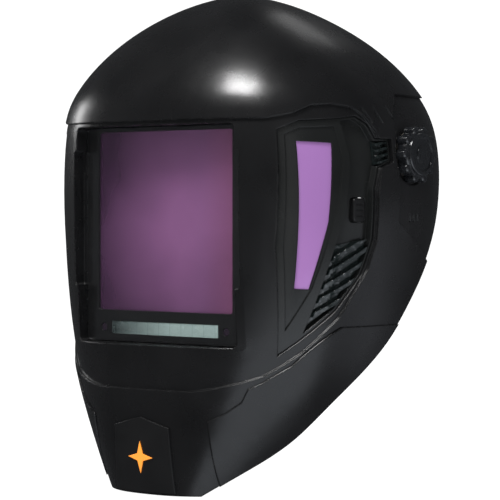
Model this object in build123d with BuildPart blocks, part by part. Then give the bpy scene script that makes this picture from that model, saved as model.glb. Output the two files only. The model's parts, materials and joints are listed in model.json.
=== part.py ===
"""Auto-darkening welding helmet with side windows, its filter cartridge and its ratchet headgear.

Millimetres. The origin is the midpoint of the tilt axis between the two pivot knobs.
+X is the wearer's left, -Y is the way the helmet faces, +Z is up.
"""

from build123d import *
from math import atan, cos, degrees, pi, radians, sin
import os

os.makedirs("parts", exist_ok=True)

# Shell: overall sizes
shell_width = 241.0       # over the cheeks, at their widest
front_reach = 105.0       # from the middle of a level section to the front
rear_reach = 110.0        # from there to the back of the same section
section_centre = -14.0    # Y of the middle of a level section
widest_height = -16.0
dome_base = 14.0
dome_height = 89.3
chin_bottom = -210.0
chin_taper_start = -132.0  # below this the chin draws in
chin_taper_half = 11.0     # by this much on each side at its bottom
chin_taper_front = 3.0     # and by this much at the front
section_power = 2.5       # 2 is an ellipse, more is squarer
wall = 2.5
relief = 1.6              # the dome and the lower shell stand this far proud of the visor
corner_relief = 2.5       # the chin corner panels stand this far proud
gap = 0.2                 # between pieces that sit against each other
running = 0.05            # radial clearance of a turning fit

# Front pocket and the filter cartridge in it
pocket_half = 65.0
pocket_low = -118.0
pocket_high = 18.0
pocket_wall = 2.0
notch_depth = 3.0
notch_low = -82.0
notch_high = 3.0
case_border = 9.4         # from the pocket's side to the window
case_border_low = 20.0
case_border_high = 3.0
lens_half = pocket_half - case_border
lens_low = pocket_low + case_border_low
lens_high = pocket_high - case_border_high
front_y = section_centre - front_reach
cover_y = front_y + 19.0          # front face of the clear cover lens
cover_thickness = 1.0
case_y = cover_y + cover_thickness + 0.4    # front face of the filter's case
case_depth = 14.2
pocket_back = front_y + 35.0
plate = 2.0
magnifier_half = lens_half - 1.6

# Control box under the window, on the wearer's side
control_half = 56.0
control_high = lens_low - 3.0
control_low = control_high - 39.0
control_depth = 13.8
control_wall = 1.6
cell_radius = 10.0
cell_thickness = 3.2

# Pivots
half_at_pivot = shell_width / 2 * (1 - (widest_height / 176.0) ** 2)
seat_x = half_at_pivot - 1.5
boss_thickness = 5.0
bolt_radius = 6.0
thread_radius = 4.0
knob_radius = 18.0
knob_height = 9.6
knob_lobes = 10
lobe_radius = 2.9
seat_radius = knob_radius + 1.0
boss_radius = seat_radius + 2.0
stop_radius = 15.5
peg_radius = 2.2
slide_travel = 10.0
block_half = bolt_radius + 3.0
block_height = 2 * bolt_radius + 2.4
slot_height = block_height + 0.6
boss_x = seat_x - boss_thickness
arm_x = boss_x - 5.5              # outer face of the side arm

# Headgear
band_half = 80.0
band_thickness = 2.2
band_front = -62.0
band_centre = 20.0
band_end = 62.0
band_height = 24.0
band_drop = 0.291                 # fall of the band per unit of length towards the nape
band_front_z = 12.0
strap_half = 77.4
strap_thickness = 2.0
strap_height = 20.0
strap_start = 22.0
strap_turn = 60.0
strap_reach = 76.0
ratchet_half = 31.0
ratchet_knob_radius = 21.0
pinion_radius = 4.0
crown_rise = 76.0
crown_thickness = 1.8
crown_width = 16.0


# ---------------------------------------------------------------- shell surfaces

def chin_taper(z):
    """How far the chin has drawn in at a height: 0 where it starts, 1 at the bottom."""
    return max(0.0, (chin_taper_start - z) / (chin_taper_start - chin_bottom)) ** 1.3


def half_width(z):
    """Half the shell's width below the dome."""
    taper = 310.0 if z < widest_height else 176.0
    return shell_width / 2 * (1 - ((z - widest_height) / taper) ** 2) - chin_taper_half * chin_taper(z)


def side_surface(y, z):
    """Distance of the shell's smooth side from the middle, below the dome and ahead of the ears."""
    ahead = (section_centre - y) / front_reach
    return half_width(z) * (1 - ahead ** section_power) ** (1 / section_power)


def level_sections(grow):
    """Height, half width, front reach, rear reach and centre of each level section."""
    for z in (-240, -195, -155, -120, -65, -20, 10):
        front = front_reach - chin_taper_front * chin_taper(z) + grow
        yield z, half_width(z) + grow, front, rear_reach + grow, section_centre
    base = half_width(dome_base) + grow
    for angle in (16, 30, 44, 57, 68, 77, 84, 89):
        rise = sin(radians(angle))
        narrowing = cos(radians(angle)) ** 1.25
        z = dome_base + (dome_height + grow) * rise ** 1.2
        front = (front_reach + grow) * narrowing
        rear = (rear_reach - 2 + grow) * narrowing
        yield z, base * narrowing, front, rear, section_centre - 7 * rise


def section_point(angle, half, front, rear, centre):
    """Point of a superellipse whose front and rear reaches differ."""
    power = 2 / section_power
    across = abs(cos(angle)) ** power
    along = abs(sin(angle)) ** power
    x = half * across if cos(angle) > 0 else -half * across
    y = centre + rear * along if sin(angle) > 0 else centre - front * along
    return x, y


def make_blob(grow):
    """Closed solid of the head shape, grown outwards by grow."""
    with BuildPart() as solid:
        for z, half, front, rear, centre in level_sections(grow):
            with BuildSketch(Plane.XY.offset(z)):
                with BuildLine():
                    angles = [pi / 2 + 2 * pi * step / 28 for step in range(28)]
                    Spline([section_point(a, half, front, rear, centre) for a in angles], periodic=True)
                make_face()
        loft()
    return solid.part


blobs = {}


def blob(grow):
    if grow not in blobs:
        blobs[grow] = make_blob(grow)
    return blobs[grow]


def side_prism(outline, grow=0.0, start=50.0, end=150.0):
    """Prism along X over an outline of (Y, Z) points, grown by grow."""
    with BuildPart() as prism:
        with BuildSketch(Plane.YZ.offset(start)):
            with BuildLine():
                Polyline(outline, close=True)
            make_face()
            if grow:
                offset(amount=grow, kind=Kind.INTERSECTION)
        extrude(amount=end - start)
    return prism.part


def front_prism(outline, grow=0.0, start=60.0, end=150.0):
    """Prism towards -Y over an outline of (X, Z) points, grown by grow."""
    with BuildPart() as prism:
        with BuildSketch(Plane.XZ.offset(start)):
            with BuildLine():
                Polyline(outline, close=True)
            make_face()
            if grow:
                offset(amount=grow, kind=Kind.INTERSECTION)
        extrude(amount=end - start)
    return prism.part


def side_skin(outline, outer, inner, grow=0.0):
    """Skin between two growths, on the left side, inside an outline."""
    with BuildPart() as skin:
        add(side_prism(outline, grow))
        add(blob(outer), mode=Mode.INTERSECT)
        add(blob(inner), mode=Mode.SUBTRACT)
    return skin.part


def box_between(x_range, y_range, z_range, corner=0.0):
    """Box between three pairs of limits, its edges along Y rounded."""
    with BuildPart() as block:
        with BuildSketch(Plane.XZ.offset(-y_range[0])):
            with Locations(((x_range[0] + x_range[1]) / 2, (z_range[0] + z_range[1]) / 2)):
                if corner:
                    RectangleRounded(x_range[1] - x_range[0], z_range[1] - z_range[0], corner)
                else:
                    Rectangle(x_range[1] - x_range[0], z_range[1] - z_range[0])
        extrude(amount=y_range[0] - y_range[1])
    return block.part


def rod_y(x, z, radius, y_range):
    """Round rod along Y."""
    with BuildPart() as rod:
        with BuildSketch(Plane.XZ.offset(-y_range[0])):
            with Locations((x, z)):
                Circle(radius)
        extrude(amount=y_range[0] - y_range[1])
    return rod.part


def rod_x(y, z, radius, x_range):
    """Round rod along X."""
    with BuildPart() as rod:
        with BuildSketch(Plane.YZ.offset(x_range[0])):
            with Locations((y, z)):
                Circle(radius)
        extrude(amount=x_range[1] - x_range[0])
    return rod.part


def write(part, name):
    part.label = name
    export_step(part, f"parts/{name}.step")


def write_pair(part, name):
    """Write the left piece and its mirror image on the right."""
    write(part, f"{name}_left")
    with BuildPart() as twin:
        mirror(part, about=Plane.YZ)
    write(twin.part, f"{name}_right")


# ---------------------------------------------------------------- outlines

visor_outline = [
    (-150, 20), (-99, 21), (-88, 24), (-78, 29), (-65, 30), (-51.5, 28), (-44, 23), (-35, 13),
    (-31, 2), (-36.5, -22), (-36.5, -53), (-42, -71), (-50, -84), (-59.5, -100), (-79, -121),
    (-95.5, -135), (-107.8, -141), (-116, -145), (-150, -145),
]
opening_outline = [
    (-95, 14), (-85, 19.5), (-63, 21), (-49, 23), (-40, 18), (-35, 9.5), (-21.5, 9.5), (-21.5, -5),
    (-34, -9), (-38, -22), (-38, -53), (-45, -74), (-61, -96), (-90, -123), (-96, -56),
]
bezel_outline = [
    (-94.6, 13.4), (-85, 18.8), (-62, 20), (-57.5, -6), (-61, -32), (-73, -83), (-89.6, -121.6),
    (-95.4, -56),
]
window_outline = [(-85.8, 7), (-66.5, 6), (-69.2, -42), (-77, -82.5), (-84.9, -82)]
channel_outline = [
    (-60.3, 19.6), (-49.5, 21.3), (-41.4, 16.8), (-36, 8), (-23, 8), (-23, -3.8), (-35.2, -7.8),
    (-39.6, -22), (-39.6, -52.6), (-46.4, -73.2), (-62, -94.6), (-78, -109), (-71.6, -83),
    (-59.6, -32), (-56, -6),
]
pivot_plate_outline = [(-15.4, 26), (-6, 38), (90, 38), (90, -110), (21.8, -66), (-15.4, -42)]
corner_outline = [
    (47, -230), (47, -163), (57, -158), (66, -151), (70, -143), (77, -139), (90, -129), (108, -106),
    (150, -106), (150, -230),
]
chin_outline = [(0, -162), (22, -168), (24, -208.5), (-24, -208.5), (-22, -168)]
rim_curve = [
    (-106, -210), (-94, -198), (-68, -176), (-52, -156), (-30, -134), (-12, -116), (3, -96), (17, -76),
    (30, -56), (41, -36), (47, -16), (48, 4), (48, 20), (46, 34), (40, 48), (30, 62), (17, 75),
    (2, 88), (-14, 108),
]
rim_floor = [rim_curve[0], (-150, chin_bottom), (-150, 125), (rim_curve[-1][0], 125), rim_curve[-1]]


# ---------------------------------------------------------------- shell

def rim_prism():
    """Everything in front of and above the rim, seen from the side."""
    with BuildPart() as prism:
        with BuildSketch(Plane.YZ):
            with BuildLine():
                Spline(rim_curve)
                Polyline(rim_floor)
            make_face()
        extrude(amount=150, both=True)
    return prism.part


def proud_levels():
    """Solid head shape with the dome, the lower shell and the chin corners standing proud."""
    with BuildPart() as corner:
        add(front_prism(corner_outline, start=-60))
        add(blob(corner_relief), mode=Mode.INTERSECT)
        add(side_prism(visor_outline, start=0), mode=Mode.SUBTRACT)
    with BuildPart() as solid:
        add(blob(relief))
        for low in (visor_outline, pivot_plate_outline):
            add(side_prism(low, start=-150, end=150), mode=Mode.SUBTRACT)
        add(blob(0))
        add(corner.part)
        mirror(corner.part, about=Plane.YZ)
    return solid.part


def pocket_block():
    """Solid block round the filter pocket, back from the visor's surface."""
    with BuildPart() as block:
        add(box_between((-pocket_half - 5, pocket_half + 5), (pocket_back, front_y - 10),
                        (pocket_low - pocket_wall, pocket_high + pocket_wall), corner=4))
        add(blob(0), mode=Mode.INTERSECT)
    return block.part


def pivot_boss():
    """Boss inside the left pivot, with the peg that meets the tilt stop."""
    with BuildPart() as boss:
        add(rod_x(0, 0, boss_radius, (boss_x, 150)))
        add(blob(-1), mode=Mode.INTERSECT)
        add(rod_x(0, -stop_radius, peg_radius, (boss_x - 2.2, boss_x + 1)))
    return boss.part


def side_cuts():
    """Both sides' window openings, pivot seats and holes, diagonal grooves, plate seams and slits."""
    plate_edge = pivot_plate_outline[0][0]
    seam_half = 0.6
    with BuildPart() as cuts:
        add(side_prism(opening_outline, start=76))
        add(rod_x(0, 0, seat_radius, (seat_x, 150)))
        add(rod_x(0, 0, bolt_radius + running, (80, 150)))
        for y, z in ((-46, 29), (-36, 29), (-23, 30)):
            groove = [(y, z), (y + 1.8, z), (y + 8.8, z - 10), (y + 7, z - 10)]
            add(side_skin(groove, relief + 2, relief - 1))
        seam = [(plate_edge - seam_half, 25), (plate_edge + seam_half, 25),
                (plate_edge + seam_half, -43), (plate_edge - seam_half, -41)]
        add(side_skin(seam, 2, -0.8))
        for y in (-4, 0.5, 5):
            slit = [(y, -37), (y + 1.6, -37), (y + 2.6, -42), (y + 1, -42)]
            add(side_skin(slit, 2, -1.0))
        mirror(about=Plane.YZ)
    return cuts.part


def make_shell():
    boss = pivot_boss()
    with BuildPart() as body:
        add(proud_levels())
        add(rim_prism(), mode=Mode.INTERSECT)
        add(blob(-wall), mode=Mode.SUBTRACT)
        add(pocket_block())
        add(boss)
        mirror(boss, about=Plane.YZ)
        add(box_between((-pocket_half, pocket_half), (0, front_y - 20), (pocket_low, pocket_high), corner=3),
            mode=Mode.SUBTRACT)
        add(box_between((-pocket_half - notch_depth, pocket_half + notch_depth),
                        (cover_y + cover_thickness + gap, front_y - 20), (notch_low, notch_high), corner=2),
            mode=Mode.SUBTRACT)
        add(side_cuts(), mode=Mode.SUBTRACT)
    return body.part


shell = make_shell()
write(shell, "shell")


# ---------------------------------------------------------------- chin plate and emblem

with BuildPart() as chin_plate:
    add(front_prism(chin_outline))
    add(blob(relief + 1.5), mode=Mode.INTERSECT)
    add(blob(relief + gap / 2), mode=Mode.SUBTRACT)
write(chin_plate.part, "chin_plate")

spark_points = []
for turn in range(8):
    arm = 10.0 if turn % 2 == 0 else 3.2
    angle = turn * pi / 4 + pi / 2
    spark_points.append((arm * cos(angle), -187 + arm * sin(angle)))
with BuildPart() as chin_emblem:
    add(front_prism(spark_points))
    add(blob(relief + 2.1), mode=Mode.INTERSECT)
    add(blob(relief + 1.6), mode=Mode.SUBTRACT)
write(chin_emblem.part, "chin_emblem")


# ---------------------------------------------------------------- side inserts

# Levels are growths of the head shape, so they are negative inside its surface
bezel_level = -1.2
bezel_floor = -2.0
flange_top = -wall - gap
flange_floor = flange_top - 2.0
channel_floor = -wall - 2.5
insert_back = channel_floor - 1.7
side_lens_top = -wall - 0.4
side_lens_floor = side_lens_top - 2.0
through = -12.0           # deeper than the back of the insert
button_y = -47.4
button_z = -34.5
button_width = 11.4
button_height = 14.6
floor_x = side_surface(button_y, button_z) + channel_floor - 0.4      # channel floor at the button


def button_box(grow, x_range):
    """Rounded box round the grind button's centre line, grown by grow."""
    with BuildPart() as block:
        with BuildSketch(Plane.YZ.offset(x_range[0])):
            with Locations((button_y, button_z)):
                RectangleRounded(button_width + 2 * grow, button_height + 2 * grow, 2.4)
        extrude(amount=x_range[1] - x_range[0])
    return block.part


def make_side_insert():
    flange = side_skin(opening_outline, flange_top, flange_floor, grow=3.5)
    block = side_skin(opening_outline, bezel_level, insert_back, grow=-gap)
    with BuildPart() as insert:
        add(flange)
        add(block)
        add(side_skin(bezel_outline, 2, bezel_floor, grow=-3.5), mode=Mode.SUBTRACT)
        add(side_skin(channel_outline, 3, channel_floor), mode=Mode.SUBTRACT)
        add(side_skin(bezel_outline, side_lens_floor, through, grow=-1.4), mode=Mode.SUBTRACT)
        add(side_skin(window_outline, side_lens_top + 0.1, through, grow=2.3), mode=Mode.SUBTRACT)
        add(side_prism(window_outline), mode=Mode.SUBTRACT)
        add(rod_x(0, 0, boss_radius + 0.4, (60, 150)), mode=Mode.SUBTRACT)
    return insert.part


side_insert = make_side_insert()
write_pair(side_insert, "side_insert")
with BuildPart() as side_insert_left:
    add(side_insert)
    add(button_box(0.3, (90, 140)), mode=Mode.SUBTRACT)
write(side_insert_left.part, "side_insert_left")

side_lens = side_skin(window_outline, side_lens_top, side_lens_floor, grow=2.1)
write_pair(side_lens, "side_lens")

with BuildPart() as side_lens_retainer:
    add(side_skin(bezel_outline, side_lens_floor - 0.15, insert_back + 0.3, grow=-1.8))
    add(side_prism(window_outline, grow=-0.4), mode=Mode.SUBTRACT)
write_pair(side_lens_retainer.part, "side_lens_retainer")

with BuildPart() as grind_button:
    add(button_box(0, (floor_x - 5, floor_x + 2)))
    add(button_box(1.6, (floor_x - 6.6, floor_x - 4.6)))
    fillet(grind_button.faces().sort_by(Axis.X)[-1].edges(), 0.8)
    with BuildSketch(Plane.YZ.offset(floor_x + 2)):
        with Locations((button_y, button_z - 3.5), (button_y, button_z), (button_y, button_z + 3.5)):
            SlotOverall(7, 1.2)
    extrude(amount=-0.5, mode=Mode.SUBTRACT)
write(grind_button.part, "grind_button")

with BuildPart() as grind_switch:
    add(button_box(-1, (floor_x - 15, floor_x - 8.4)))
    for foot in (-1, 1):
        with BuildSketch(Plane.YZ.offset(floor_x - 12)):
            with Locations((button_y, button_z + foot * (button_height / 2 + 3.4))):
                Rectangle(8, 2.4)
        extrude(amount=7.6)
        with BuildSketch(Plane.YZ.offset(floor_x - 12)):
            with Locations((button_y, button_z + foot * (button_height / 2 + 1))):
                Rectangle(8, 6)
        extrude(amount=-2)
    add(blob(insert_back - 0.1), mode=Mode.INTERSECT)
write(grind_switch.part, "grind_switch")


# ---------------------------------------------------------------- vent fins

def fins(outline, count, start, step, slope, thickness):
    """Diagonal fins on a thin base on the channel's floor, rising nearly to the shell's surface."""
    with BuildPart() as blades:
        for number in range(count):
            y = start[0] + number * step[0]
            z = start[1] + number * step[1]
            corners = [(y, z), (y + slope[0], z + slope[1]), (y + slope[0], z + slope[1] + thickness),
                       (y, z + thickness)]
            add(side_prism(corners))
        add(side_prism(outline), mode=Mode.INTERSECT)
        add(blob(-1.0), mode=Mode.INTERSECT)
        add(blob(channel_floor + 0.5), mode=Mode.SUBTRACT)
    with BuildPart() as row:
        add(side_skin(outline, channel_floor + 1.0, channel_floor + gap / 2))
        add(blades.part)
    return row.part


upper_vent_area = [(-35.3, 7.4), (-23.6, 7.4), (-23.6, -3.4), (-34.7, -7.2)]
lower_vent_area = [(-40.2, -52), (-47, -72.6), (-61.5, -93.4), (-75, -104), (-70.5, -84), (-63.5, -56)]
write_pair(fins(upper_vent_area, 4, (-37, -7), (0, 3.8), (16, 3), 1.5), "upper_vent")
write_pair(fins(lower_vent_area, 6, (-78, -72), (0, -7.4), (40, 22), 2.6), "lower_vent")

with BuildPart() as insert_screws:
    for y, z in ((-50, 25), (-61, -100)):
        with BuildSketch(Plane.YZ):
            with Locations((y, z)):
                Circle(2.2)
        extrude(amount=130, both=True)
    add(blob(flange_floor - 0.05), mode=Mode.INTERSECT)
    add(blob(insert_back + 0.5), mode=Mode.SUBTRACT)
write(insert_screws.part, "insert_screws")


# ---------------------------------------------------------------- filter cartridge

with BuildPart() as front_cover_lens:
    add(box_between((-pocket_half + 0.4, pocket_half - 0.4), (cover_y + cover_thickness, cover_y),
                    (pocket_low + 0.4, pocket_high - 0.4), corner=2.8))
    for side in (1, -1):
        for z in (-70, -10):
            add(box_between(sorted((side * (pocket_half - 0.5), side * (pocket_half + notch_depth - 0.4))),
                            (cover_y + cover_thickness, cover_y), (z - 4, z + 4)))
write(front_cover_lens.part, "front_cover_lens")

case_half = pocket_half - 0.4
case_low = pocket_low + 0.4
case_high = pocket_high - 0.4
case_split = case_y + 8.0
case_back = case_y + case_depth
strip_low = case_low + 4.6
strip_high = strip_low + 8.0
sensor_x = case_half - plate - 12.1
sensor_z = (strip_low + strip_high) / 2
sensor_radius = 2.6
strip_half = sensor_x - 6.5

with BuildPart() as adf_front_case:
    add(box_between((-case_half, case_half), (case_split, case_y), (case_low, case_high), corner=2.6))
    add(box_between((-case_half + plate, case_half - plate), (case_split + 1, case_y + plate),
                    (case_low + plate, case_high - plate)), mode=Mode.SUBTRACT)
    add(box_between((-lens_half, lens_half), (0, case_y - 5), (lens_low, lens_high), corner=2),
        mode=Mode.SUBTRACT)
    add(box_between((-strip_half - gap, strip_half + gap), (0, case_y - 5),
                    (strip_low - gap, strip_high + gap)), mode=Mode.SUBTRACT)
    for side in (1, -1):
        add(rod_y(side * sensor_x, sensor_z, sensor_radius + 0.1, (0, case_y - 5)), mode=Mode.SUBTRACT)
write(adf_front_case.part, "adf_front_case")

write(box_between((-lens_half - 2, lens_half + 2), (case_y + 7.1, case_y + plate + 0.1),
                  (lens_low - 2, case_high - plate - 0.2)), "lcd_filter")
write(box_between((-strip_half, strip_half), (case_y + 3, case_y + 0.4), (strip_low, strip_high)),
      "solar_cell")
with BuildPart() as arc_sensors:
    for side in (1, -1):
        add(rod_y(side * sensor_x, sensor_z, sensor_radius, (case_y + 3.2, case_y + 0.2)))
    fillet(arc_sensors.faces().group_by(Axis.Y)[0].edges(), 0.8)
write(arc_sensors.part, "arc_sensors")
with BuildPart() as adf_board:
    add(box_between((-case_half + 3.6, case_half - 3.6), (case_y + 5.2, case_y + 3.6),
                    (case_low + 2.6, lens_low - 3.5)))
    with BuildSketch(Plane.XZ.offset(-case_y - 5.2)):
        with Locations((-40, sensor_z + 1), (-18, sensor_z + 1), (22, sensor_z + 1)):
            Rectangle(10, 7)
    extrude(amount=-1.2)
write(adf_board.part, "adf_board")

with BuildPart() as adf_back_case:
    add(box_between((-case_half, case_half), (case_back, case_split + gap), (case_low, case_high), corner=2.6))
    add(box_between((-case_half + plate, case_half - plate), (case_back - plate, case_split - 1),
                    (case_low + plate, case_high - plate)), mode=Mode.SUBTRACT)
    add(box_between((-lens_half + 1.6, lens_half - 1.6), (0, case_y), (lens_low + 1, lens_high - 1), corner=2),
        mode=Mode.SUBTRACT)
write(adf_back_case.part, "adf_back_case")

# Retaining frame over the back of the pocket, with the rails for a magnifying lens
frame_front = pocket_back + 0.1
frame_back = frame_front + 3.1
inner_half = lens_half + 1.4
inner_low = lens_low - 1.0
inner_high = lens_high + 1.5
inner_clearance = 0.3
rail_low = -64.0
rail_high = -9.0
write(box_between((-inner_half, inner_half), (frame_front + 1, frame_front), (inner_low, inner_high),
                  corner=2), "inner_cover_lens")
with BuildPart() as adf_retainer:
    add(box_between((-pocket_half - 7, pocket_half + 7), (frame_back, frame_front),
                    (lens_low - 2.5, pocket_high + 6), corner=4))
    add(box_between((-inner_half - inner_clearance, inner_half + inner_clearance),
                    (frame_front + 1 + inner_clearance, frame_front - 1),
                    (inner_low - inner_clearance, inner_high + inner_clearance), corner=2), mode=Mode.SUBTRACT)
    add(box_between((-inner_half + 4, inner_half - 4), (0, frame_front), (inner_low + 4, inner_high - 3.5),
                    corner=3), mode=Mode.SUBTRACT)
    for side in (1, -1):
        add(box_between(sorted((side * (magnifier_half + 0.5), side * (magnifier_half + 2.5))),
                        (frame_back + 4, frame_back - 0.5), (rail_low, rail_high)))
        add(box_between(sorted((side * (magnifier_half - 1.5), side * (magnifier_half + 2.5))),
                        (frame_back + 4, frame_back + 2.8), (rail_low, rail_high)))
        add(box_between(sorted((side * (magnifier_half - 1.5), side * (magnifier_half + 2.5))),
                        (frame_back + 4, frame_back - 0.5), (rail_low - 2, rail_low)))
write(adf_retainer.part, "adf_retainer")


# ---------------------------------------------------------------- control box

control_front = pocket_back + 0.1
control_back = control_front + control_depth
tray_start = control_half - 24.6
tray_high = control_high - 10.0
tray_low = tray_high - 2 * cell_radius - 2.0
tray_front = control_front + 4.6
tray_back = tray_front + cell_thickness + 1.8
cell_x = control_half - cell_radius - 3.0
cell_z = (tray_low + tray_high) / 2
knob_z = control_high - 21.0
shaft_radius = 2.0
dial_radius = 6.4
test_x = -22.0
test_z = control_high - 7.2
test_radius = 3.4

with BuildPart() as control_case:
    add(box_between((-control_half, control_half), (control_back, control_front),
                    (control_low, control_high), corner=3))
    add(box_between((-control_half + control_wall, control_half - control_wall),
                    (control_back - control_wall, control_front + control_wall),
                    (control_low + control_wall, control_high - control_wall)), mode=Mode.SUBTRACT)
    add(box_between((-control_half - 1, control_half + 1), (tray_back + 0.3, tray_front - 0.3),
                    (tray_low - 0.3, tray_high + 0.3)), mode=Mode.SUBTRACT)
    for x in (-20, 0, 20):
        add(rod_y(x, knob_z, shaft_radius + running, (control_back + 1, control_back - 3)), mode=Mode.SUBTRACT)
    add(rod_y(test_x, test_z, test_radius + gap, (control_back + 1, control_back - 3)), mode=Mode.SUBTRACT)
write(control_case.part, "control_case")

with BuildPart() as control_board:
    add(box_between((-30, 30), (control_front + 3.6, control_front + 2), (control_low + 3, control_high - 3)))
    with BuildSketch(Plane.XZ.offset(-control_front - 3.6)):
        with Locations((-10, control_high - 9), (10, control_high - 9)):
            Rectangle(9, 6)
    extrude(amount=-1.5)
write(control_board.part, "control_board")

with BuildPart() as battery_tray:
    add(box_between((tray_start, control_half), (tray_back, tray_front), (tray_low, tray_high)))
    add(box_between((control_half + 0.2, control_half + 2.2), (tray_back + 1.2, tray_front - 1.2),
                    (tray_low - 1.2, tray_high + 1.2)))
    add(box_between((control_half - 1, control_half + 1), (tray_back, tray_front), (tray_low, tray_high)))
    add(rod_y(cell_x, cell_z, cell_radius + 0.2, (tray_back + 1, tray_front + 1)), mode=Mode.SUBTRACT)
write_pair(battery_tray.part, "battery_tray")
with BuildPart() as battery_cell:
    add(rod_y(cell_x, cell_z, cell_radius, (tray_front + 1.2 + cell_thickness, tray_front + 1.2)))
    chamfer(battery_cell.faces().sort_by(Axis.Y)[-1].edges(), 0.5)
write_pair(battery_cell.part, "battery_cell")


def make_dial(x):
    """Ribbed dial with its shaft and a pointer groove, turning about Y."""
    with BuildPart() as dial:
        add(rod_y(x, knob_z, dial_radius, (control_back + 7, control_back + 0.3)))
        fillet(dial.faces().sort_by(Axis.Y)[-1].edges(), 0.7)
        with BuildSketch(Plane.XZ.offset(-control_back - 6)):
            with Locations((x, knob_z)):
                with PolarLocations(dial_radius, 18):
                    Circle(0.7)
        extrude(amount=5.2)
        add(rod_y(x, knob_z, shaft_radius, (control_back + 0.6, control_back - 8)))
        add(box_between((x - 0.5, x + 0.5), (control_back + 8, control_back + 6.4), (knob_z + 1, knob_z + 7)),
            mode=Mode.SUBTRACT)
    return dial.part


for name, x in (("shade_knob", -20), ("sensitivity_knob", 0), ("delay_knob", 20)):
    write(make_dial(x), name)

with BuildPart() as test_button:
    add(rod_y(test_x, test_z, test_radius, (control_back + 1.8, control_back - 2.5)))
    fillet(test_button.faces().sort_by(Axis.Y)[-1].edges(), 0.8)
    add(rod_y(test_x, test_z, test_radius + 1.4, (control_back - control_wall - gap, control_back - 3)))
write(test_button.part, "test_button")


# ---------------------------------------------------------------- pivots

stud_tip = seat_x + 6.6
knob_start = seat_x + 0.6
slot_half = block_half + slide_travel + 0.4

with BuildPart() as pivot_stud:
    add(rod_x(0, 0, bolt_radius, (arm_x - 3.6, seat_x + 0.3)))
    add(rod_x(0, 0, thread_radius, (seat_x, stud_tip)))
    with BuildSketch(Plane.YZ.offset(arm_x - 6.6)):
        RegularPolygon(bolt_radius + 4, 6)
    extrude(amount=3.2)
write_pair(pivot_stud.part, "pivot_stud")

with BuildPart() as slide_block:
    with BuildSketch(Plane.YZ.offset(arm_x - 3.2)):
        Rectangle(2 * block_half, block_height)
    extrude(amount=3.3)
    with BuildSketch(Plane.YZ.offset(arm_x + 0.1)):
        RectangleRounded(2 * block_half + 8, block_height + 5.6, 3)
    extrude(amount=2.5)
    add(rod_x(0, 0, bolt_radius + 0.02, (60, 150)), mode=Mode.SUBTRACT)
write_pair(slide_block.part, "slide_block")

with BuildPart() as tilt_stop:
    add(rod_x(0, 0, bolt_radius + 5.5, (arm_x + 2.7, boss_x - 0.3)))
    with BuildSketch(Plane.YZ.offset(arm_x + 2.7)):
        with BuildLine():
            Polyline((peg_radius + 0.3, -8), (peg_radius + 0.3, -stop_radius - 3), (8, -stop_radius - 2),
                     (9, -6), close=True)
        make_face()
    extrude(amount=boss_x - arm_x - 3)
    add(rod_x(0, 0, bolt_radius + 0.02, (60, 150)), mode=Mode.SUBTRACT)
write_pair(tilt_stop.part, "tilt_stop")

with BuildPart() as friction_washer:
    add(rod_x(0, 0, knob_radius - lobe_radius, (seat_x + 0.1, seat_x + 0.5)))
    add(rod_x(0, 0, bolt_radius + 0.1, (60, 150)), mode=Mode.SUBTRACT)
write_pair(friction_washer.part, "friction_washer")

with BuildPart() as pivot_knob:
    with BuildSketch(Plane.YZ.offset(knob_start)):
        Circle(knob_radius - lobe_radius)
        with PolarLocations(knob_radius - lobe_radius, knob_lobes):
            Circle(lobe_radius)
    extrude(amount=knob_height - 1.6)
    chamfer(pivot_knob.faces().sort_by(Axis.X)[-1].edges(), 0.8)
    with BuildSketch(Plane.YZ.offset(knob_start + knob_height - 1.8)):
        Circle(knob_radius - lobe_radius - 1.6)
    extrude(amount=1.8)
    fillet(pivot_knob.faces().sort_by(Axis.X)[-1].edges(), 1.0)
    with BuildSketch(Plane.YZ.offset(knob_start + knob_height)):
        Circle(knob_radius - lobe_radius - 4.6)
        Circle(thread_radius + 1.4, mode=Mode.SUBTRACT)
    extrude(amount=-0.8, mode=Mode.SUBTRACT)
    add(rod_x(0, 0, thread_radius + running, (knob_start - 1, stud_tip + 0.3)), mode=Mode.SUBTRACT)
write_pair(pivot_knob.part, "pivot_knob")


# ---------------------------------------------------------------- headgear

def band_z(y):
    """Height of the band's middle line over a level distance y."""
    return band_front_z - band_drop * (y - band_front)


def tilted_slab(height):
    """Slab of the band's height, falling towards the nape."""
    start, end = -90, 180
    with BuildPart() as slab:
        with BuildSketch(Plane.YZ.offset(-150)):
            with BuildLine():
                Polyline((start, band_z(start) - height / 2), (end, band_z(end) - height / 2),
                         (end, band_z(end) + height / 2), (start, band_z(start) + height / 2), close=True)
            make_face()
        extrude(amount=300)
    return slab.part


def band_plan(half, front, end):
    """Upright solid over a half ellipse at the front and straight sides back to end."""
    with BuildPart() as solid:
        with BuildSketch(Plane.XY.offset(-120)):
            with BuildLine():
                EllipticalCenterArc((0, band_centre), half, front, start_angle=180, arc_size=180)
                Polyline((half, band_centre), (half, end), (-half, end), (-half, band_centre))
            make_face()
        extrude(amount=220)
    return solid.part


def strap_plan(half, reach, extra=0.0):
    """Upright solid over straight sides and a half ellipse round the nape."""
    start = strap_start - extra
    with BuildPart() as solid:
        with BuildSketch(Plane.XY.offset(-120)):
            with BuildLine():
                EllipticalCenterArc((0, strap_turn), half, reach, start_angle=0, arc_size=180)
                Polyline((-half, strap_turn), (-half, start), (half, start), (half, strap_turn))
            make_face()
        extrude(amount=220)
    return solid.part


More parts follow.
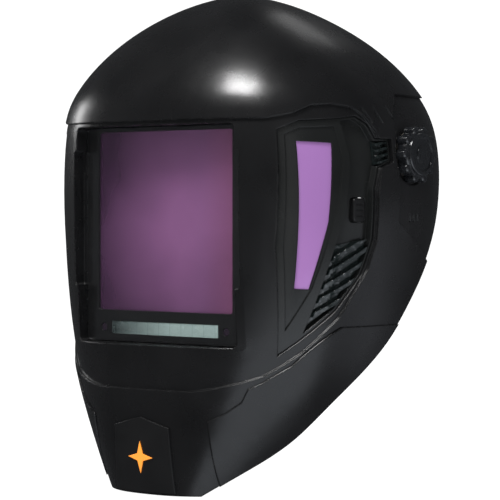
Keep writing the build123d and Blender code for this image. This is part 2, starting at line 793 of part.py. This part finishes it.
front_reach_of_band = band_centre - band_front
with BuildPart() as front_band:
    add(band_plan(band_half, front_reach_of_band, band_end))
    add(band_plan(band_half - band_thickness, front_reach_of_band - band_thickness, band_end + 5),
        mode=Mode.SUBTRACT)
    add(tilted_slab(band_height), mode=Mode.INTERSECT)
    for side in (1, -1):
        with BuildSketch(Plane.YZ):
            with Locations((50, band_z(50))):
                SlotOverall(20, 5, rotation=-degrees(atan(band_drop)))
        extrude(amount=side * 100, mode=Mode.SUBTRACT)
write(front_band.part, "front_band")

nape_y = 129.5
nape_z = band_z(nape_y + 1)
rack_half = 24.0


def make_rear_strap(side):
    """Strap from one temple to the nape; its rack is above the pinion on the left, below on the right."""
    low = nape_z + 4.5 if side > 0 else nape_z - 9.5
    with BuildPart() as strap:
        add(strap_plan(strap_half, strap_reach))
        add(strap_plan(strap_half - strap_thickness, strap_reach - strap_thickness, 5), mode=Mode.SUBTRACT)
        add(tilted_slab(strap_height), mode=Mode.INTERSECT)
        add(box_between(sorted((side * 28, side * 100)), (180, 0), (-120, 80)), mode=Mode.INTERSECT)
        add(box_between(sorted((side * 30, -side * rack_half)), (nape_y + 2, nape_y), (low, low + 5)))
        with BuildSketch(Plane.XZ.offset(-nape_y)):
            edge = low if side > 0 else low + 5
            with Locations([(pitch * 3.0, edge) for pitch in range(-7, 8)]):
                Rectangle(1.4, 1.6)
        extrude(amount=-2, mode=Mode.SUBTRACT)
    return strap.part


write(make_rear_strap(1), "rear_strap_left")
write(make_rear_strap(-1), "rear_strap_right")

case_front = nape_y - 2.3
cover_front = nape_y + 4.2
cover_back = cover_front + 3.0
with BuildPart() as ratchet_case:
    add(box_between((-ratchet_half, ratchet_half), (cover_front - 0.1, case_front),
                    (nape_z - 15, nape_z + 15), corner=5))
    add(box_between((-ratchet_half - 1, ratchet_half + 1), (cover_front + 1, case_front + 2),
                    (nape_z - 11.2, nape_z + 11.2)), mode=Mode.SUBTRACT)
    for side in (1, -1):
        add(box_between(sorted((side * 26, side * (ratchet_half + 1))), (cover_front + 1, case_front - 1),
                        (nape_z - 11.2, nape_z + 11.2)), mode=Mode.SUBTRACT)
write(ratchet_case.part, "ratchet_case")

with BuildPart() as ratchet_cover:
    add(box_between((-ratchet_half, ratchet_half), (cover_back, cover_front), (nape_z - 15, nape_z + 15),
                    corner=5))
    add(rod_y(0, nape_z, 2.5 + running, (cover_back + 1, cover_front - 1)), mode=Mode.SUBTRACT)
    add(rod_y(0, nape_z, 12, (cover_back + 1, cover_back - 1.2)), mode=Mode.SUBTRACT)
write(ratchet_cover.part, "ratchet_cover")

with BuildPart() as pawl_spring:
    add(rod_y(0, nape_z, 11.4, (cover_back - 0.3, cover_back - 1.0)))
    add(rod_y(0, nape_z, 8.8, (cover_back + 1, cover_front - 1)), mode=Mode.SUBTRACT)
    with BuildSketch(Plane.XZ.offset(-cover_back + 1.0)):
        with Locations((0, nape_z)):
            with PolarLocations(10.1, 3):
                Circle(0.9)
    extrude(amount=-1.5)
write(pawl_spring.part, "pawl_spring")

knob_front = cover_back + 0.8
with BuildPart() as ratchet_knob:
    with BuildSketch(Plane.XZ.offset(-knob_front)):
        with Locations((0, nape_z)):
            Circle(ratchet_knob_radius - 1.5)
            with PolarLocations(ratchet_knob_radius - 2.5, 16):
                Circle(2.5)
    extrude(amount=-14)
    fillet(ratchet_knob.faces().sort_by(Axis.Y)[-1].edges(), 1.4)
    with BuildSketch(Plane.XZ.offset(-knob_front)):
        with Locations((0, nape_z)):
            Circle(2.6)
    extrude(amount=-9, mode=Mode.SUBTRACT)
write(ratchet_knob.part, "ratchet_knob")

with BuildPart() as ratchet_pinion:
    with BuildSketch(Plane.XZ.offset(-nape_y + 0.1)):
        with Locations((0, nape_z)):
            Circle(pinion_radius - 1.2)
            with PolarLocations(pinion_radius - 1.0, 8):
                Circle(0.95)
    extrude(amount=-3.8)
    add(rod_y(0, nape_z, 2.5, (knob_front + 8.8, nape_y)))
write(ratchet_pinion.part, "ratchet_pinion")

with BuildPart() as rear_pad:
    add(strap_plan(strap_half - 9.4, nape_y - 60 - 2.9))
    add(strap_plan(strap_half - 15.4, nape_y - 60 - 9.4), mode=Mode.SUBTRACT)
    add(tilted_slab(26), mode=Mode.INTERSECT)
    add(box_between((-34, 34), (150, 80), (-100, 100)), mode=Mode.INTERSECT)
write(rear_pad.part, "rear_pad")


# Side arms bow out from the band to the pivots
arm_thickness = 3.0
arm_height = slot_height + 7.0
flat_half = slot_half + 7.6
with BuildPart() as side_arm:
    with BuildSketch(Plane.XY.offset(-arm_height / 2)):
        with BuildLine():
            Polyline((band_half + 0.1, -30), (band_half + 0.1, -42), (band_half + 3.4, -42),
                     (arm_x, -flat_half), (arm_x, flat_half),
                     (band_half + 3.4, 56), (band_half + 0.1, 56), (band_half + 0.1, 44),
                     (arm_x - arm_thickness, flat_half - 2), (arm_x - arm_thickness, -flat_half + 2),
                     close=True)
        make_face()
    extrude(amount=arm_height)
    with BuildSketch(Plane.YZ.offset(90)):
        Rectangle(2 * slot_half, slot_height)
    extrude(amount=30, mode=Mode.SUBTRACT)
write_pair(side_arm.part, "side_arm")


def crown_arch(foot, lean):
    """Arch over the head on a plane through foot (Y, Z), leaning back by lean degrees."""
    facing = (0, -cos(radians(lean)), sin(radians(lean)))
    plane = Plane(origin=(0, foot[0], foot[1]), x_dir=(1, 0, 0), z_dir=facing)
    inner = band_half + gap
    with BuildPart() as arch:
        with BuildSketch(plane.offset(-crown_width / 2)):
            with BuildLine():
                EllipticalCenterArc((0, 0), inner + crown_thickness, crown_rise + crown_thickness,
                                    start_angle=0, arc_size=180)
                Line((-inner - crown_thickness, 0), (-inner - crown_thickness, -18))
                Line((-inner - crown_thickness, -18), (-inner, -18))
                Line((-inner, -18), (-inner, 0))
                EllipticalCenterArc((0, 0), inner, crown_rise, start_angle=0, arc_size=180)
                Line((inner, 0), (inner, -18))
                Line((inner, -18), (inner + crown_thickness, -18))
                Line((inner + crown_thickness, -18), (inner + crown_thickness, 0))
            make_face()
        extrude(amount=crown_width)
    return arch.part


front_foot = (6.0, 0.0)
rear_foot = (31.0, -8.0)
rear_lean = 14.0
write(crown_arch(front_foot, 0), "crown_strap_front")
write(crown_arch(rear_foot, rear_lean), "crown_strap_rear")

with BuildPart() as strap_studs:
    for side in (1, -1):
        for y, z in ((front_foot[0], -12), (rear_foot[0] - 4, -19)):
            with BuildSketch(Plane.YZ.offset(side * (band_half + gap + crown_thickness + 0.05))):
                with Locations((y, z)):
                    Circle(4)
            extrude(amount=side * 1.6)
write(strap_studs.part, "strap_studs")

sweat_gap = band_thickness + gap
with BuildPart() as sweatband:
    add(band_plan(band_half - sweat_gap, front_reach_of_band - sweat_gap, band_end))
    add(band_plan(band_half - sweat_gap - 5, front_reach_of_band - sweat_gap - 5, band_end + 5),
        mode=Mode.SUBTRACT)
    add(tilted_slab(band_height + 6), mode=Mode.INTERSECT)
    add(box_between((-100, 100), (-2, -100), (-100, 100)), mode=Mode.INTERSECT)
write(sweatband.part, "sweatband")
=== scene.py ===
"""Looks of the auto-darkening welding helmet: finishes, padded fabric, studio and camera, in metres."""

import json
import math

import bmesh
import bpy
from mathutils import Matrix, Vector


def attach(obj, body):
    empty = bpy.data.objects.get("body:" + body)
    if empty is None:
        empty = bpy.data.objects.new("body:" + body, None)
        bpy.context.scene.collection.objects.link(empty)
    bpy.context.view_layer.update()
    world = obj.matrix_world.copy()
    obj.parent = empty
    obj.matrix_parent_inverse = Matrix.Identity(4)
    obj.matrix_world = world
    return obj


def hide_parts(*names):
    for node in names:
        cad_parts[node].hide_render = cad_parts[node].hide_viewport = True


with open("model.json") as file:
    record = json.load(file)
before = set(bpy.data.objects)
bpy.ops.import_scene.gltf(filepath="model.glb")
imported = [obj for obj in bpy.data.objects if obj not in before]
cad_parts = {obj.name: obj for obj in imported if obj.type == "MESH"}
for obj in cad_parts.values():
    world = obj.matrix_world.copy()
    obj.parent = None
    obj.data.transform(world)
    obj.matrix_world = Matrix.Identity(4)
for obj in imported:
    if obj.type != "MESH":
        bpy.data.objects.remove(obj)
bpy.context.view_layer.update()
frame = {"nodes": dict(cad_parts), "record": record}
nodes = frame["nodes"]
scene = bpy.context.scene


# ---------------------------------------------------------------- camera

AZIMUTH = math.radians(39.0)      # from straight ahead of the helmet towards its left side
ELEVATION = math.radians(1.0)
DISTANCE = 1.4
LENS = 152.7
AIM_RIGHT = -0.00812              # the framing: how far the view's middle is from the tilt axis
AIM_UP = -0.06073

back = Vector((math.sin(AZIMUTH) * math.cos(ELEVATION), -math.cos(AZIMUTH) * math.cos(ELEVATION),
               math.sin(ELEVATION)))
right = Vector((math.cos(AZIMUTH), math.sin(AZIMUTH), 0.0))
up = back.cross(right)
camera = bpy.data.objects.new("camera", bpy.data.cameras.new("camera"))
camera.data.lens = LENS
camera.data.sensor_width = 36.0
camera.data.clip_start = 0.01
camera.data.clip_end = 50.0
camera.location = right * AIM_RIGHT + up * AIM_UP + back * DISTANCE
camera.rotation_euler = back.to_track_quat("Z", "Y").to_euler()
scene.collection.objects.link(camera)
scene.camera = camera
scene.view_settings.view_transform = "Standard"


# ---------------------------------------------------------------- finishes

class Finish:
    """A procedural material: one Principled shader and the textures that feed it."""

    def __init__(self, name, **constants):
        self.material = bpy.data.materials.new(name)
        self.material.use_nodes = True
        self.tree = self.material.node_tree
        self.shader = self.tree.nodes["Principled BSDF"]
        self.place = self.tree.nodes.new("ShaderNodeTexCoord").outputs["Object"]
        self.normal = None
        for socket, value in constants.items():
            self.shader.inputs[socket.replace("_", " ")].default_value = value

    def node(self, kind, inputs=(), **settings):
        """Adds a node, with its settings and with a value or a link for each named input."""
        made = self.tree.nodes.new("ShaderNode" + kind)
        for key, value in settings.items():
            setattr(made, key, value)
        for socket, value in dict(inputs).items():
            self.feed(made.inputs[socket], value)
        return made

    def feed(self, socket, value):
        if isinstance(value, bpy.types.NodeSocket):
            self.tree.links.new(value, socket)
        else:
            socket.default_value = value

    def set(self, socket, value):
        self.feed(self.shader.inputs[socket], value)

    def stretched(self, stretch):
        return self.node("Mapping", {"Vector": self.place, "Scale": stretch}).outputs[0]

    def noise(self, scale, detail=3.0, stretch=None, seed=0.0):
        place = self.stretched(stretch) if stretch else self.place
        made = self.node("TexNoise", {"Vector": place, "Scale": scale, "Detail": detail, "W": seed},
                         noise_dimensions="4D")
        return made.outputs["Fac"]

    def cells(self, scale):
        return self.node("TexVoronoi", {"Vector": self.place, "Scale": scale}).outputs["Distance"]

    def bands(self, axis, scale, twist=0.0):
        made = self.node("TexWave", {"Vector": self.place, "Scale": scale, "Distortion": twist},
                         bands_direction=axis, wave_profile="SIN")
        return made.outputs["Fac"]

    def remap(self, value, low, high, to_low=0.0, to_high=1.0):
        made = self.node("MapRange", {"Value": value, "From Min": low, "From Max": high,
                                      "To Min": to_low, "To Max": to_high})
        return made.outputs["Result"]

    def math(self, operation, first, second):
        made = self.node("Math", operation=operation)
        self.feed(made.inputs[0], first)
        self.feed(made.inputs[1], second)
        return made.outputs[0]

    def mix(self, factor, first, second):
        made = self.node("Mix", data_type="RGBA")
        self.feed(made.inputs["Factor"], factor)
        self.feed(made.inputs[6], first)
        self.feed(made.inputs[7], second)
        return made.outputs[2]

    def axis(self, letter):
        return self.node("SeparateXYZ", {"Vector": self.place}).outputs[letter]

    def bump(self, height, depth):
        """Adds relief of the given depth in metres to what the normal already has."""
        made = self.node("Bump", {"Height": height, "Distance": depth, "Strength": 1.0})
        if self.normal:
            self.feed(made.inputs["Normal"], self.normal)
        self.normal = made.outputs["Normal"]
        self.set("Normal", self.normal)

    def rounded(self, radius):
        """Rounds every edge a little and gives a mask that is 1 along the edges."""
        soft = self.node("Bevel", {"Radius": radius}, samples=6).outputs["Normal"]
        true = self.node("NewGeometry").outputs["Normal"]
        made = self.node("VectorMath", operation="DOT_PRODUCT")
        self.feed(made.inputs[0], soft)
        self.feed(made.inputs[1], true)
        self.normal = soft
        self.set("Normal", soft)
        return self.remap(made.outputs["Value"], 0.995, 0.90)


def rgb(red, green, blue):
    """Linear colour from display values of 0 to 255."""
    linear = [((v / 255 + 0.055) / 1.055) ** 2.4 if v > 10 else v / 255 / 12.92 for v in (red, green, blue)]
    return (*linear, 1.0)


def plastic(name, colour, rough, grain, edge=0.0006, wear_and_highlight=0.35, marks=0.5, **constants):
    """Moulded plastic. Rough is its lowest and highest roughness, grain its texture's size and depth,
    edge the radius that its edges are rounded to, wear_and_highlight how far its edges are painted lighter,
    partly from rubbing and partly as a painted highlight, and marks its scratches."""
    finish = Finish(name, **constants)
    mask = finish.rounded(edge)
    patches = finish.remap(finish.noise(28.0, 4.0), 0.3, 0.7)
    dark = tuple(channel * 0.8 for channel in colour[:3]) + (1.0,)
    light = tuple(min(channel * 1.25 + 0.0006, 1.0) for channel in colour[:3]) + (1.0,)
    body = finish.mix(patches, dark, light)
    # painted lighter edges: partly from rubbing, partly a painted highlight standing in for glints along the
    # edges
    worn_and_highlit = tuple(min(channel * 2.2 + 0.012, 1.0) for channel in colour[:3]) + (1.0,)
    wear_and_highlight_mask = finish.math("MULTIPLY", mask, finish.remap(finish.noise(160.0, 3.0), 0.42, 0.7, 0.0, wear_and_highlight))
    finish.set("Base Color", finish.mix(wear_and_highlight_mask, body, worn_and_highlit))
    hairs = finish.remap(finish.noise(70.0, 2.0, (1.0, 1.0, 26.0)), 0.66, 0.74, 0.0, 0.06 * marks)
    cross = finish.remap(finish.noise(60.0, 2.0, (24.0, 1.0, 3.0), 4.0), 0.67, 0.75, 0.0, 0.06 * marks)
    cloudy = finish.remap(finish.noise(45.0, 5.0, seed=2.0), 0.3, 0.7, rough[0], rough[1])
    finish.set("Roughness", finish.math("ADD", cloudy, finish.math("ADD", hairs, cross)))
    size, depth = grain
    finish.bump(finish.noise(1.0 / size, 2.0), depth)
    return finish


def shell_plastic():
    """Glossy black moulding whose rounded edges are painted lighter, a little from rubbing and mostly as a
    painted highlight line along them.
    """
    return plastic("shell_plastic", rgb(12, 12, 13), (0.25, 0.30), (0.0035, 0.000012), edge=0.0011,
                   wear_and_highlight=0.6, marks=0.15, IOR=1.5)


def smoke_plastic():
    """Smoky moulding with small facets that glint."""
    finish = plastic("smoke_plastic", rgb(13, 18, 18), (0.05, 0.1), (0.006, 0.0006), edge=0.0006,
                     Coat_Weight=1.0, Coat_Roughness=0.03)
    finish.bump(finish.cells(300.0), 0.0012)
    return finish


def metal(name, colour, rough):
    """Brushed metal: rough is its lowest and highest roughness."""
    finish = Finish(name, Metallic=1.0, Anisotropic=0.4)
    mask = finish.rounded(0.0003)
    streaks = finish.noise(120.0, 4.0, (1.0, 1.0, 14.0))
    dull = tuple(channel * 0.62 for channel in colour[:3]) + (1.0,)
    body = finish.mix(finish.remap(finish.noise(90.0, 5.0), 0.35, 0.65), dull, colour)
    finish.set("Base Color", finish.mix(finish.math("MULTIPLY", mask, 0.5), body, rgb(235, 235, 235)))
    finish.set("Roughness", finish.remap(streaks, 0.3, 0.7, rough[0], rough[1]))
    finish.bump(streaks, 0.00001)
    return finish


def main_lens():
    """Violet interference filter. Painted shade makes it darker towards the wearer's right and along its top
    and bottom; it turns pinker towards the wearer's left edge.
    """
    finish = Finish("main_lens", Metallic=0.25, Coat_Weight=1.0, Coat_Roughness=0.03, IOR=1.5)
    # painted shade: darker towards the wearer's right, the top and the bottom, with random tone mixed in
    across = finish.remap(finish.axis("X"), -0.052, 0.012)
    upper = finish.remap(finish.axis("Z"), 0.012, -0.022)
    lower = finish.remap(finish.axis("Z"), -0.1, -0.045)
    wander = finish.remap(finish.noise(16.0, 2.0), 0.3, 0.7, -0.16, 0.16)
    painted_light = finish.math("MULTIPLY", across, finish.math("MULTIPLY", finish.remap(upper, 0, 1, 0.62, 1.0),
                                                      finish.remap(lower, 0, 1, 0.66, 1.0)))
    painted_light = finish.math("ADD", painted_light, wander)
    body = finish.mix(painted_light, rgb(53, 28, 54), rgb(132, 88, 131))
    rosy = finish.math("MULTIPLY", finish.remap(finish.axis("X"), 0.03, 0.056), 0.6)
    finish.set("Base Color", finish.mix(rosy, body, rgb(115, 65, 93)))
    finish.set("Roughness", finish.remap(finish.noise(60.0, 4.0), 0.3, 0.7, 0.10, 0.18))
    finish.bump(finish.noise(30.0, 1.0), 0.00001)
    return finish


def side_lens():
    """Violet filter of the side windows, with painted light that makes it a little lighter towards the
    bottom.
    """
    finish = Finish("side_lens", Metallic=0.2, Coat_Weight=1.0, Coat_Roughness=0.03, IOR=1.5)
    finish.rounded(0.0004)
    # painted light: a little lighter towards the bottom
    painted_light_fade = finish.remap(finish.axis("Z"), -0.02, -0.08)
    wander = finish.remap(finish.noise(22.0, 2.0), 0.3, 0.7, -0.2, 0.2)
    painted_light = finish.math("ADD", painted_light_fade, wander)
    finish.set("Base Color", finish.mix(painted_light, rgb(146, 104, 162), rgb(158, 114, 174)))
    finish.set("Roughness", finish.remap(finish.noise(60.0, 4.0), 0.3, 0.7, 0.10, 0.2))
    return finish


def clear_lens():
    """Thin clear sheet with a faint mirror image, capped so that its back face never turns opaque."""
    finish = Finish("clear_lens", Metallic=1.0, Base_Color=(0.97, 0.98, 1.0, 1.0))
    glance = finish.math("MINIMUM", finish.node("Fresnel", {"IOR": 1.45}).outputs["Fac"], 0.12)
    smear = finish.remap(finish.noise(26.0, 5.0, (1.0, 1.0, 0.35)), 0.56, 0.8, 0.0, 0.02)
    specks = finish.remap(finish.cells(420.0), 0.05, 0.09, 0.12, 0.0)
    rare = finish.math("MULTIPLY", specks, finish.remap(finish.noise(55.0, 2.0, seed=7.0), 0.6, 0.7))
    finish.set("Alpha", finish.math("ADD", glance, finish.math("ADD", smear, rare)))
    finish.set("Roughness", finish.remap(finish.noise(40.0, 4.0), 0.35, 0.75, 0.02, 0.09))
    return finish


def solar():
    """Pale cells under glass, with painted shade that darkens them strongly towards the wearer's right."""
    finish = Finish("solar", Coat_Weight=1.0, Coat_Roughness=0.05)
    # painted shade: much darker towards the wearer's right
    painted_light_fade = finish.remap(finish.axis("X"), -0.042, 0.006)
    fleck = finish.remap(finish.noise(300.0, 4.0), 0.3, 0.7, -0.06, 0.06)
    body = finish.mix(finish.math("ADD", painted_light_fade, fleck), rgb(45, 54, 54), rgb(144, 163, 160))
    lines = finish.math("MULTIPLY", finish.remap(finish.bands("X", 34.0), 0.98, 1.0), 0.22)
    finish.set("Base Color", finish.mix(lines, body, rgb(41, 58, 56)))
    finish.set("Roughness", finish.remap(finish.noise(80.0), 0.3, 0.7, 0.18, 0.3))
    finish.bump(finish.noise(300.0), 0.00001)
    return finish


def circuit():
    """Green circuit board with pale tracks and gilt pads."""
    finish = Finish("board_green", Coat_Weight=0.4, Coat_Roughness=0.2)
    tracks = finish.node("TexBrick", {"Vector": finish.place, "Scale": 120.0, "Color1": (0, 0, 0, 1),
                                      "Color2": (0, 0, 0, 1), "Mortar": (1, 1, 1, 1), "Mortar Size": 0.02})
    pads = finish.remap(finish.cells(330.0), 0.16, 0.12)
    ground = finish.mix(finish.noise(90.0), rgb(12, 62, 34), rgb(20, 88, 48))
    finish.set("Base Color", finish.mix(pads, finish.mix(tracks.outputs["Color"], ground, rgb(40, 120, 70)),
                                        rgb(206, 176, 110)))
    finish.set("Roughness", finish.remap(finish.noise(200.0), 0.3, 0.7, 0.3, 0.5))
    finish.bump(tracks.outputs["Color"], 0.00005)
    return finish


def fabric():
    """Terry cloth: loops of about a millimetre, with a lighter bloom where it turns away."""
    finish = Finish("sweat_fabric", Sheen_Weight=0.35, Sheen_Roughness=0.5, Specular_IOR_Level=0.2)
    loops = finish.cells(1150.0)
    tufts = finish.noise(420.0, 4.0)
    # painted shade: the dips between the loops are painted darker
    painted_hollow_shade = finish.remap(loops, 0.0, 0.7, 1.0, 0.25)
    shade = finish.math("MULTIPLY", painted_hollow_shade, finish.remap(tufts, 0.3, 0.7, 0.6, 1.0))
    finish.set("Base Color", finish.mix(shade, rgb(26, 26, 30), rgb(74, 75, 82)))
    finish.set("Roughness", finish.remap(tufts, 0.3, 0.7, 0.85, 1.0))
    finish.bump(finish.remap(loops, 0.0, 0.6, 1.0, 0.0), 0.0003)
    finish.bump(tufts, 0.0004)
    return finish


def fibre():
    """Pressed fibre of the washers, with short threads."""
    finish = Finish("washer_fibre")
    threads = finish.noise(500.0, 5.0, (1.0, 1.0, 5.0))
    finish.set("Base Color", finish.mix(threads, rgb(52, 48, 44), rgb(82, 77, 70)))
    finish.set("Roughness", finish.remap(threads, 0.3, 0.7, 0.75, 0.95))
    finish.bump(threads, 0.00005)
    return finish


BLACK = rgb(14, 14, 15)
finishes = {
    "shell_plastic": shell_plastic(),
    "plate_plastic": plastic("plate_plastic", rgb(13, 13, 14), (0.36, 0.44), (0.0016, 0.00002), wear_and_highlight=0.15),
    "emblem_orange": plastic("emblem_orange", rgb(250, 142, 40), (0.35, 0.45), (0.0009, 0.00001), wear_and_highlight=0.1),
    "insert_plastic": plastic("insert_plastic", rgb(17, 18, 18), (0.2, 0.28), (0.004, 0.00001), edge=0.0007,
                              wear_and_highlight=0.15, marks=0.3),
    "side_lens": side_lens(),
    "black_plastic": plastic("black_plastic", BLACK, (0.34, 0.46), (0.0016, 0.00002), edge=0.0004),
    "smoke_plastic": smoke_plastic(),
    "steel": metal("steel", rgb(196, 196, 198), (0.22, 0.4)),
    "clear_lens": clear_lens(),
    "main_lens": main_lens(),
    "solar": solar(),
    "sensor": plastic("sensor", rgb(30, 20, 32), (0.04, 0.1), (0.002, 0.00001), Coat_Weight=1.0),
    "board_green": circuit(),
    "knob_plastic": plastic("knob_plastic", rgb(16, 17, 19), (0.10, 0.18), (0.002, 0.00003), edge=0.0009,
                            wear_and_highlight=0.4, Coat_Weight=0.6, Coat_Roughness=0.06),
    "grey_plastic": plastic("grey_plastic", rgb(88, 88, 92), (0.45, 0.6), (0.0008, 0.00002), edge=0.0004),
    "headgear_plastic": plastic("headgear_plastic", rgb(26, 26, 28), (0.42, 0.56), (0.0009, 0.00004),
                                edge=0.0005),
    "washer_fibre": fibre(),
    "sweat_fabric": fabric(),
}


def dress(piece, slot):
    piece.data.materials.clear()
    piece.data.materials.append(finishes[slot].material)


for subpart in frame["record"]["subparts"]:
    dress(nodes[subpart["node"]], subpart["material_slot"])


# ---------------------------------------------------------------- padded fabric

SWELL_FRAMES = 20
PRESSURE = 4.0
VOXEL = 0.0022
SHRINK = 0.0009          # what the pad gives up before it swells
CAP = 0.0011             # the furthest that a point may swell


def shaped(piece):
    """The piece's mesh with its modifiers applied, at the scene's present frame."""
    graph = bpy.context.evaluated_depsgraph_get()
    return bpy.data.meshes.new_from_object(piece.evaluated_get(graph), depsgraph=graph)


def apply_modifiers(piece):
    mesh = shaped(piece)
    piece.modifiers.clear()
    piece.data = mesh


def swell(piece):
    """Cloth with air pressure inside; no point moves further than CAP."""
    start = [vertex.co.copy() for vertex in piece.data.vertices]
    cloth = piece.modifiers.new("swell", "CLOTH")
    cloth.settings.use_pressure = True
    cloth.settings.uniform_pressure_force = PRESSURE
    cloth.settings.effector_weights.gravity = 0.0
    cloth.settings.quality = 5
    cloth.point_cache.frame_start = 1
    cloth.point_cache.frame_end = SWELL_FRAMES
    for number in range(1, SWELL_FRAMES + 1):
        scene.frame_set(number)
    mesh = shaped(piece)
    piece.modifiers.clear()
    for vertex, home in zip(mesh.vertices, start):
        move = vertex.co - home
        if move.length > CAP:
            vertex.co = home + move * (CAP / move.length)
    piece.data = mesh
    scene.frame_set(1)


def padded_piece(node, body):
    """Fabric covered foam in the place of a CAD pad."""
    piece = bpy.data.objects.new(node + "_cloth", nodes[node].data.copy())
    scene.collection.objects.link(piece)
    welded = bmesh.new()
    welded.from_mesh(piece.data)
    bmesh.ops.remove_doubles(welded, verts=welded.verts, dist=1e-6)
    welded.to_mesh(piece.data)
    welded.free()
    remesh = piece.modifiers.new("even", "REMESH")
    remesh.mode = "VOXEL"
    remesh.voxel_size = VOXEL
    apply_modifiers(piece)
    for vertex, normal in zip(piece.data.vertices, [v.normal.copy() for v in piece.data.vertices]):
        vertex.co -= normal * SHRINK
    swell(piece)
    finer = piece.modifiers.new("finer", "SUBSURF")
    finer.levels = 1
    finer.render_levels = 1
    apply_modifiers(piece)
    for face in piece.data.polygons:
        face.use_smooth = True
    dress(piece, "sweat_fabric")
    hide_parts(node)
    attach(piece, body)


padded_piece("sweatband", "headgear")
padded_piece("rear_pad", "rear_band")


# ---------------------------------------------------------------- studio

FLOOR_Z = -0.2104        # just under the chin
ROOM = 9.0               # radius of the floor and the backdrop


def glowing(name, colour, glow, diffuse):
    """Pale studio paper: part lit, part glowing, so that it stays even."""
    material = bpy.data.materials.new(name)
    material.use_nodes = True
    shader = material.node_tree.nodes["Principled BSDF"]
    grain = material.node_tree.nodes.new("ShaderNodeTexNoise")
    grain.inputs["Scale"].default_value = 40.0
    shade = material.node_tree.nodes.new("ShaderNodeMapRange")
    shade.inputs["To Min"].default_value = diffuse * 0.97
    shade.inputs["To Max"].default_value = diffuse
    material.node_tree.links.new(grain.outputs["Fac"], shade.inputs["Value"])
    material.node_tree.links.new(shade.outputs["Result"], shader.inputs["Base Color"])
    shader.inputs["Roughness"].default_value = 1.0
    shader.inputs["Specular IOR Level"].default_value = 0.0
    shader.inputs["Emission Color"].default_value = colour
    shader.inputs["Emission Strength"].default_value = glow
    return material


def staged(name, make, material):
    """A floor or backdrop that lights the scene softly but isn't mirrored in the gloss."""
    mesh = bpy.data.meshes.new(name)
    shape = bmesh.new()
    make(shape)
    shape.to_mesh(mesh)
    shape.free()
    mesh.materials.append(material)
    piece = bpy.data.objects.new(name, mesh)
    piece.visible_glossy = False
    piece.visible_shadow = False
    scene.collection.objects.link(piece)
    return piece


paper = glowing("paper", (1.0, 1.0, 1.0, 1.0), 1.0, 0.12)
floor = staged("floor", lambda shape: bmesh.ops.create_circle(shape, cap_ends=True, segments=96, radius=ROOM),
               paper)
floor.location.z = FLOOR_Z
staged("backdrop", lambda shape: bmesh.ops.create_uvsphere(shape, u_segments=64, v_segments=32, radius=ROOM),
       paper)

world = bpy.data.worlds.new("studio")
world.use_nodes = True
world.node_tree.nodes["Background"].inputs["Color"].default_value = (0.9, 0.95, 1.0, 1.0)
world.node_tree.nodes["Background"].inputs["Strength"].default_value = 0.05
scene.world = world

CENTRE = Vector((0.0, -0.03, -0.05))      # what the softboxes face


def softbox(name, azimuth, elevation, distance, width, height, radiance, colour=(1.0, 1.0, 1.0)):
    """Rectangular softbox turned to the helmet. Azimuth runs from straight ahead towards the left side."""
    light = bpy.data.lights.new(name, "AREA")
    light.shape = "RECTANGLE"
    light.size = width
    light.size_y = height
    light.energy = radiance * math.pi * width * height
    light.color = colour
    flat = math.cos(math.radians(elevation))
    way = Vector((math.sin(math.radians(azimuth)) * flat, -math.cos(math.radians(azimuth)) * flat,
                  math.sin(math.radians(elevation))))
    piece = bpy.data.objects.new(name, light)
    piece.location = CENTRE + way * distance
    piece.rotation_euler = way.to_track_quat("Z", "Y").to_euler()
    scene.collection.objects.link(piece)


softbox("key", 9, 57, 1.6, 0.5, 0.5, 36.0)
softbox("left_strip", -86, 15, 1.5, 0.16, 0.34, 14.0)
softbox("left_rim", -140, 2, 1.8, 0.4, 1.0, 0.5)
softbox("low_fill", 62, -32, 1.5, 2.0, 0.9, 1.25, (0.86, 0.92, 1.0))
softbox("front_fill", 52, 0, 2.2, 0.6, 1.4, 0.4)
softbox("side_fill", 122, -16, 1.8, 1.3, 0.9, 0.42, (0.86, 0.9, 1.0))
softbox("back_key", -165, 50, 1.8, 0.5, 0.5, 1.0)
